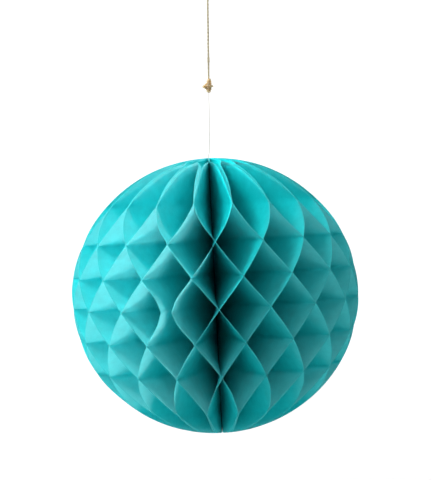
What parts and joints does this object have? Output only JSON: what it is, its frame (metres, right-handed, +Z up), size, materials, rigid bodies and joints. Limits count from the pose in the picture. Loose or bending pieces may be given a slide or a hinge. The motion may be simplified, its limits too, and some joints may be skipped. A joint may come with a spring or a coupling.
{
  "type": "paper honeycomb ball",
  "caption": "Hanging tissue-paper honeycomb ball that folds flat about its spine, on a thread and a looped twine.",
  "frame": {"origin": "where a hook bears inside the crown of the hanging loop", "axes": "+Z up along the hanging line and the ball's spine, -Y is the front, +X is to the right seen from the front"},
  "size_m": [0.2484, 0.25, 0.4318],
  "materials": {
    "tissue": "matt translucent tissue paper",
    "twine": "hairy jute twine",
    "thread": "thin pale cotton thread",
    "binding": "bound and glued paper edges",
    "tab": "adhesive tab"
  },
  "bodies": {
    "hanger": {"hang_loop": "twine", "loop_knot": "twine"},
    "twine_line": {"twine": "twine", "twine_knot": "twine"},
    "thread_line": {"hanging_thread": "thread"},
    "eyelet": {"top_eyelet": "thread"},
    "ball_core": {"spine_binding": "binding", "spine_thread": "thread", "spine_stop_knot": "thread", "leaf_12": "tissue"},
    "leaf_01_panel": {"leaf_01": "tissue", "seam_tab_top": "tab", "seam_tab_upper": "tab", "seam_tab_lower": "tab"},
    "leaf_02_panel": {"leaf_02": "tissue"},
    "leaf_03_panel": {"leaf_03": "tissue"},
    "leaf_04_panel": {"leaf_04": "tissue"},
    "leaf_05_panel": {"leaf_05": "tissue"},
    "leaf_06_panel": {"leaf_06": "tissue"},
    "leaf_07_panel": {"leaf_07": "tissue"},
    "leaf_08_panel": {"leaf_08": "tissue"},
    "leaf_09_panel": {"leaf_09": "tissue"},
    "leaf_10_panel": {"leaf_10": "tissue"},
    "leaf_11_panel": {"leaf_11": "tissue"},
    "leaf_13_panel": {"leaf_13": "tissue"},
    "leaf_14_panel": {"leaf_14": "tissue"},
    "leaf_15_panel": {"leaf_15": "tissue"},
    "leaf_16_panel": {"leaf_16": "tissue"},
    "leaf_17_panel": {"leaf_17": "tissue"},
    "leaf_18_panel": {"leaf_18": "tissue"},
    "leaf_19_panel": {"leaf_19": "tissue"},
    "leaf_20_panel": {"leaf_20": "tissue"},
    "leaf_21_panel": {"leaf_21": "tissue"},
    "leaf_22_panel": {"leaf_22": "tissue"},
    "leaf_23_panel": {"leaf_23": "tissue"},
    "leaf_24_panel": {"leaf_24": "tissue"},
    "leaf_25_panel": {"leaf_25": "tissue"},
    "leaf_26_panel": {"leaf_26": "tissue"},
    "leaf_27_panel": {"leaf_27": "tissue"},
    "leaf_28_panel": {"leaf_28": "tissue"},
    "leaf_29_panel": {"leaf_29": "tissue"},
    "leaf_30_panel": {"leaf_30": "tissue"},
    "leaf_31_panel": {"leaf_31": "tissue"},
    "leaf_32_panel": {"leaf_32": "tissue"},
    "leaf_33_panel": {"leaf_33": "tissue"},
    "leaf_34_panel": {"leaf_34": "tissue"},
    "leaf_35_panel": {"leaf_35": "tissue"},
    "leaf_36_panel": {"leaf_36": "tissue"}
  },
  "joints": [
    {"name": "twine_swing", "type": "hinge", "parent": "hanger", "child": "twine_line", "pos_m": [0, 0, -0.044], "axis": [0, 1, 0], "range_deg": [-45, 45]},
    {"name": "thread_swing", "type": "hinge", "parent": "twine_line", "child": "thread_line", "pos_m": [0, 0, -0.13355], "axis": [1, 0, 0], "range_deg": [-45, 45]},
    {"name": "ball_tilt", "type": "hinge", "parent": "thread_line", "child": "eyelet", "pos_m": [0, 0, -0.18625], "axis": [0, 1, 0], "range_deg": [-35, 35]},
    {"name": "ball_spin", "type": "hinge", "parent": "eyelet", "child": "ball_core", "pos_m": [0, 0, -0.18625], "axis": [0, 0, 1], "continuous": true},
    {"name": "leaf_01_fold", "type": "hinge", "parent": "ball_core", "child": "leaf_01_panel", "pos_m": [0, 0, -0.3098], "axis": [0, 0, 1], "range_deg": [0, 108.75]},
    {"name": "leaf_02_fold", "type": "hinge", "parent": "ball_core", "child": "leaf_02_panel", "pos_m": [0, 0, -0.3098], "axis": [0, 0, 1], "range_deg": [0, 98.87]},
    {"name": "leaf_03_fold", "type": "hinge", "parent": "ball_core", "child": "leaf_03_panel", "pos_m": [0, 0, -0.3098], "axis": [0, 0, 1], "range_deg": [0, 88.98]},
    {"name": "leaf_04_fold", "type": "hinge", "parent": "ball_core", "child": "leaf_04_panel", "pos_m": [0, 0, -0.3098], "axis": [0, 0, 1], "range_deg": [0, 79.1]},
    {"name": "leaf_05_fold", "type": "hinge", "parent": "ball_core", "child": "leaf_05_panel", "pos_m": [0, 0, -0.3098], "axis": [0, 0, 1], "range_deg": [0, 69.21]},
    {"name": "leaf_06_fold", "type": "hinge", "parent": "ball_core", "child": "leaf_06_panel", "pos_m": [0, 0, -0.3098], "axis": [0, 0, 1], "range_deg": [0, 59.32]},
    {"name": "leaf_07_fold", "type": "hinge", "parent": "ball_core", "child": "leaf_07_panel", "pos_m": [0, 0, -0.3098], "axis": [0, 0, 1], "range_deg": [0, 49.44]},
    {"name": "leaf_08_fold", "type": "hinge", "parent": "ball_core", "child": "leaf_08_panel", "pos_m": [0, 0, -0.3098], "axis": [0, 0, 1], "range_deg": [0, 39.55]},
    {"name": "leaf_09_fold", "type": "hinge", "parent": "ball_core", "child": "leaf_09_panel", "pos_m": [0, 0, -0.3098], "axis": [0, 0, 1], "range_deg": [0, 29.67]},
    {"name": "leaf_10_fold", "type": "hinge", "parent": "ball_core", "child": "leaf_10_panel", "pos_m": [0, 0, -0.3098], "axis": [0, 0, 1], "range_deg": [0, 19.78]},
    {"name": "leaf_11_fold", "type": "hinge", "parent": "ball_core", "child": "leaf_11_panel", "pos_m": [0, 0, -0.3098], "axis": [0, 0, 1], "range_deg": [0, 9.9]},
    {"name": "leaf_13_fold", "type": "hinge", "parent": "ball_core", "child": "leaf_13_panel", "pos_m": [0, 0, -0.3098], "axis": [0, 0, 1], "range_deg": [-9.9, 0]},
    {"name": "leaf_14_fold", "type": "hinge", "parent": "ball_core", "child": "leaf_14_panel", "pos_m": [0, 0, -0.3098], "axis": [0, 0, 1], "range_deg": [-19.78, 0]},
    {"name": "leaf_15_fold", "type": "hinge", "parent": "ball_core", "child": "leaf_15_panel", "pos_m": [0, 0, -0.3098], "axis": [0, 0, 1], "range_deg": [-29.67, 0]},
    {"name": "leaf_16_fold", "type": "hinge", "parent": "ball_core", "child": "leaf_16_panel", "pos_m": [0, 0, -0.3098], "axis": [0, 0, 1], "range_deg": [-39.55, 0]},
    {"name": "leaf_17_fold", "type": "hinge", "parent": "ball_core", "child": "leaf_17_panel", "pos_m": [0, 0, -0.3098], "axis": [0, 0, 1], "range_deg": [-49.44, 0]},
    {"name": "leaf_18_fold", "type": "hinge", "parent": "ball_core", "child": "leaf_18_panel", "pos_m": [0, 0, -0.3098], "axis": [0, 0, 1], "range_deg": [-59.32, 0]},
    {"name": "leaf_19_fold", "type": "hinge", "parent": "ball_core", "child": "leaf_19_panel", "pos_m": [0, 0, -0.3098], "axis": [0, 0, 1], "range_deg": [-69.21, 0]},
    {"name": "leaf_20_fold", "type": "hinge", "parent": "ball_core", "child": "leaf_20_panel", "pos_m": [0, 0, -0.3098], "axis": [0, 0, 1], "range_deg": [-79.1, 0]},
    {"name": "leaf_21_fold", "type": "hinge", "parent": "ball_core", "child": "leaf_21_panel", "pos_m": [0, 0, -0.3098], "axis": [0, 0, 1], "range_deg": [-88.98, 0]},
    {"name": "leaf_22_fold", "type": "hinge", "parent": "ball_core", "child": "leaf_22_panel", "pos_m": [0, 0, -0.3098], "axis": [0, 0, 1], "range_deg": [-98.87, 0]},
    {"name": "leaf_23_fold", "type": "hinge", "parent": "ball_core", "child": "leaf_23_panel", "pos_m": [0, 0, -0.3098], "axis": [0, 0, 1], "range_deg": [-108.75, 0]},
    {"name": "leaf_24_fold", "type": "hinge", "parent": "ball_core", "child": "leaf_24_panel", "pos_m": [0, 0, -0.3098], "axis": [0, 0, 1], "range_deg": [-118.64, 0]},
    {"name": "leaf_25_fold", "type": "hinge", "parent": "ball_core", "child": "leaf_25_panel", "pos_m": [0, 0, -0.3098], "axis": [0, 0, 1], "range_deg": [-128.52, 0]},
    {"name": "leaf_26_fold", "type": "hinge", "parent": "ball_core", "child": "leaf_26_panel", "pos_m": [0, 0, -0.3098], "axis": [0, 0, 1], "range_deg": [-138.41, 0]},
    {"name": "leaf_27_fold", "type": "hinge", "parent": "ball_core", "child": "leaf_27_panel", "pos_m": [0, 0, -0.3098], "axis": [0, 0, 1], "range_deg": [-148.3, 0]},
    {"name": "leaf_28_fold", "type": "hinge", "parent": "ball_core", "child": "leaf_28_panel", "pos_m": [0, 0, -0.3098], "axis": [0, 0, 1], "range_deg": [-158.18, 0]},
    {"name": "leaf_29_fold", "type": "hinge", "parent": "ball_core", "child": "leaf_29_panel", "pos_m": [0, 0, -0.3098], "axis": [0, 0, 1], "range_deg": [-168.07, 0]},
    {"name": "leaf_30_fold", "type": "hinge", "parent": "ball_core", "child": "leaf_30_panel", "pos_m": [0, 0, -0.3098], "axis": [0, 0, 1], "range_deg": [-177.95, 0]},
    {"name": "leaf_31_fold", "type": "hinge", "parent": "ball_core", "child": "leaf_31_panel", "pos_m": [0, 0, -0.3098], "axis": [0, 0, 1], "range_deg": [-187.84, 0]},
    {"name": "leaf_32_fold", "type": "hinge", "parent": "ball_core", "child": "leaf_32_panel", "pos_m": [0, 0, -0.3098], "axis": [0, 0, 1], "range_deg": [-197.72, 0]},
    {"name": "leaf_33_fold", "type": "hinge", "parent": "ball_core", "child": "leaf_33_panel", "pos_m": [0, 0, -0.3098], "axis": [0, 0, 1], "range_deg": [-207.61, 0]},
    {"name": "leaf_34_fold", "type": "hinge", "parent": "ball_core", "child": "leaf_34_panel", "pos_m": [0, 0, -0.3098], "axis": [0, 0, 1], "range_deg": [-217.5, 0]},
    {"name": "leaf_35_fold", "type": "hinge", "parent": "ball_core", "child": "leaf_35_panel", "pos_m": [0, 0, -0.3098], "axis": [0, 0, 1], "range_deg": [-227.38, 0]},
    {"name": "fan_fold", "type": "hinge", "parent": "ball_core", "child": "leaf_36_panel", "pos_m": [0, 0, -0.3098], "axis": [0, 0, 1], "range_deg": [-237.26, 0], "deforming": ["leaf_01", "leaf_02", "leaf_03", "leaf_04", "leaf_05", "leaf_06", "leaf_07", "leaf_08", "leaf_09", "leaf_10", "leaf_11", "leaf_12", "leaf_13", "leaf_14", "leaf_15", "leaf_16", "leaf_17", "leaf_18", "leaf_19", "leaf_20", "leaf_21", "leaf_22", "leaf_23", "leaf_24", "leaf_25", "leaf_26", "leaf_27", "leaf_28", "leaf_29", "leaf_30", "leaf_31", "leaf_32", "leaf_33", "leaf_34", "leaf_35", "leaf_36"]}
  ],
  "couplings": [
    {"joint": "leaf_01_fold", "follows": "fan_fold", "ratio": -0.45833},
    {"joint": "leaf_02_fold", "follows": "fan_fold", "ratio": -0.41667},
    {"joint": "leaf_03_fold", "follows": "fan_fold", "ratio": -0.375},
    {"joint": "leaf_04_fold", "follows": "fan_fold", "ratio": -0.33333},
    {"joint": "leaf_05_fold", "follows": "fan_fold", "ratio": -0.29167},
    {"joint": "leaf_06_fold", "follows": "fan_fold", "ratio": -0.25},
    {"joint": "leaf_07_fold", "follows": "fan_fold", "ratio": -0.20833},
    {"joint": "leaf_08_fold", "follows": "fan_fold", "ratio": -0.16667},
    {"joint": "leaf_09_fold", "follows": "fan_fold", "ratio": -0.125},
    {"joint": "leaf_10_fold", "follows": "fan_fold", "ratio": -0.083333},
    {"joint": "leaf_11_fold", "follows": "fan_fold", "ratio": -0.041667},
    {"joint": "leaf_13_fold", "follows": "fan_fold", "ratio": 0.041667},
    {"joint": "leaf_14_fold", "follows": "fan_fold", "ratio": 0.083333},
    {"joint": "leaf_15_fold", "follows": "fan_fold", "ratio": 0.125},
    {"joint": "leaf_16_fold", "follows": "fan_fold", "ratio": 0.16667},
    {"joint": "leaf_17_fold", "follows": "fan_fold", "ratio": 0.20833},
    {"joint": "leaf_18_fold", "follows": "fan_fold", "ratio": 0.25},
    {"joint": "leaf_19_fold", "follows": "fan_fold", "ratio": 0.29167},
    {"joint": "leaf_20_fold", "follows": "fan_fold", "ratio": 0.33333},
    {"joint": "leaf_21_fold", "follows": "fan_fold", "ratio": 0.375},
    {"joint": "leaf_22_fold", "follows": "fan_fold", "ratio": 0.41667},
    {"joint": "leaf_23_fold", "follows": "fan_fold", "ratio": 0.45833},
    {"joint": "leaf_24_fold", "follows": "fan_fold", "ratio": 0.5},
    {"joint": "leaf_25_fold", "follows": "fan_fold", "ratio": 0.54167},
    {"joint": "leaf_26_fold", "follows": "fan_fold", "ratio": 0.58333},
    {"joint": "leaf_27_fold", "follows": "fan_fold", "ratio": 0.625},
    {"joint": "leaf_28_fold", "follows": "fan_fold", "ratio": 0.66667},
    {"joint": "leaf_29_fold", "follows": "fan_fold", "ratio": 0.70833},
    {"joint": "leaf_30_fold", "follows": "fan_fold", "ratio": 0.75},
    {"joint": "leaf_31_fold", "follows": "fan_fold", "ratio": 0.79167},
    {"joint": "leaf_32_fold", "follows": "fan_fold", "ratio": 0.83333},
    {"joint": "leaf_33_fold", "follows": "fan_fold", "ratio": 0.875},
    {"joint": "leaf_34_fold", "follows": "fan_fold", "ratio": 0.91667},
    {"joint": "leaf_35_fold", "follows": "fan_fold", "ratio": 0.95833}
  ]
}
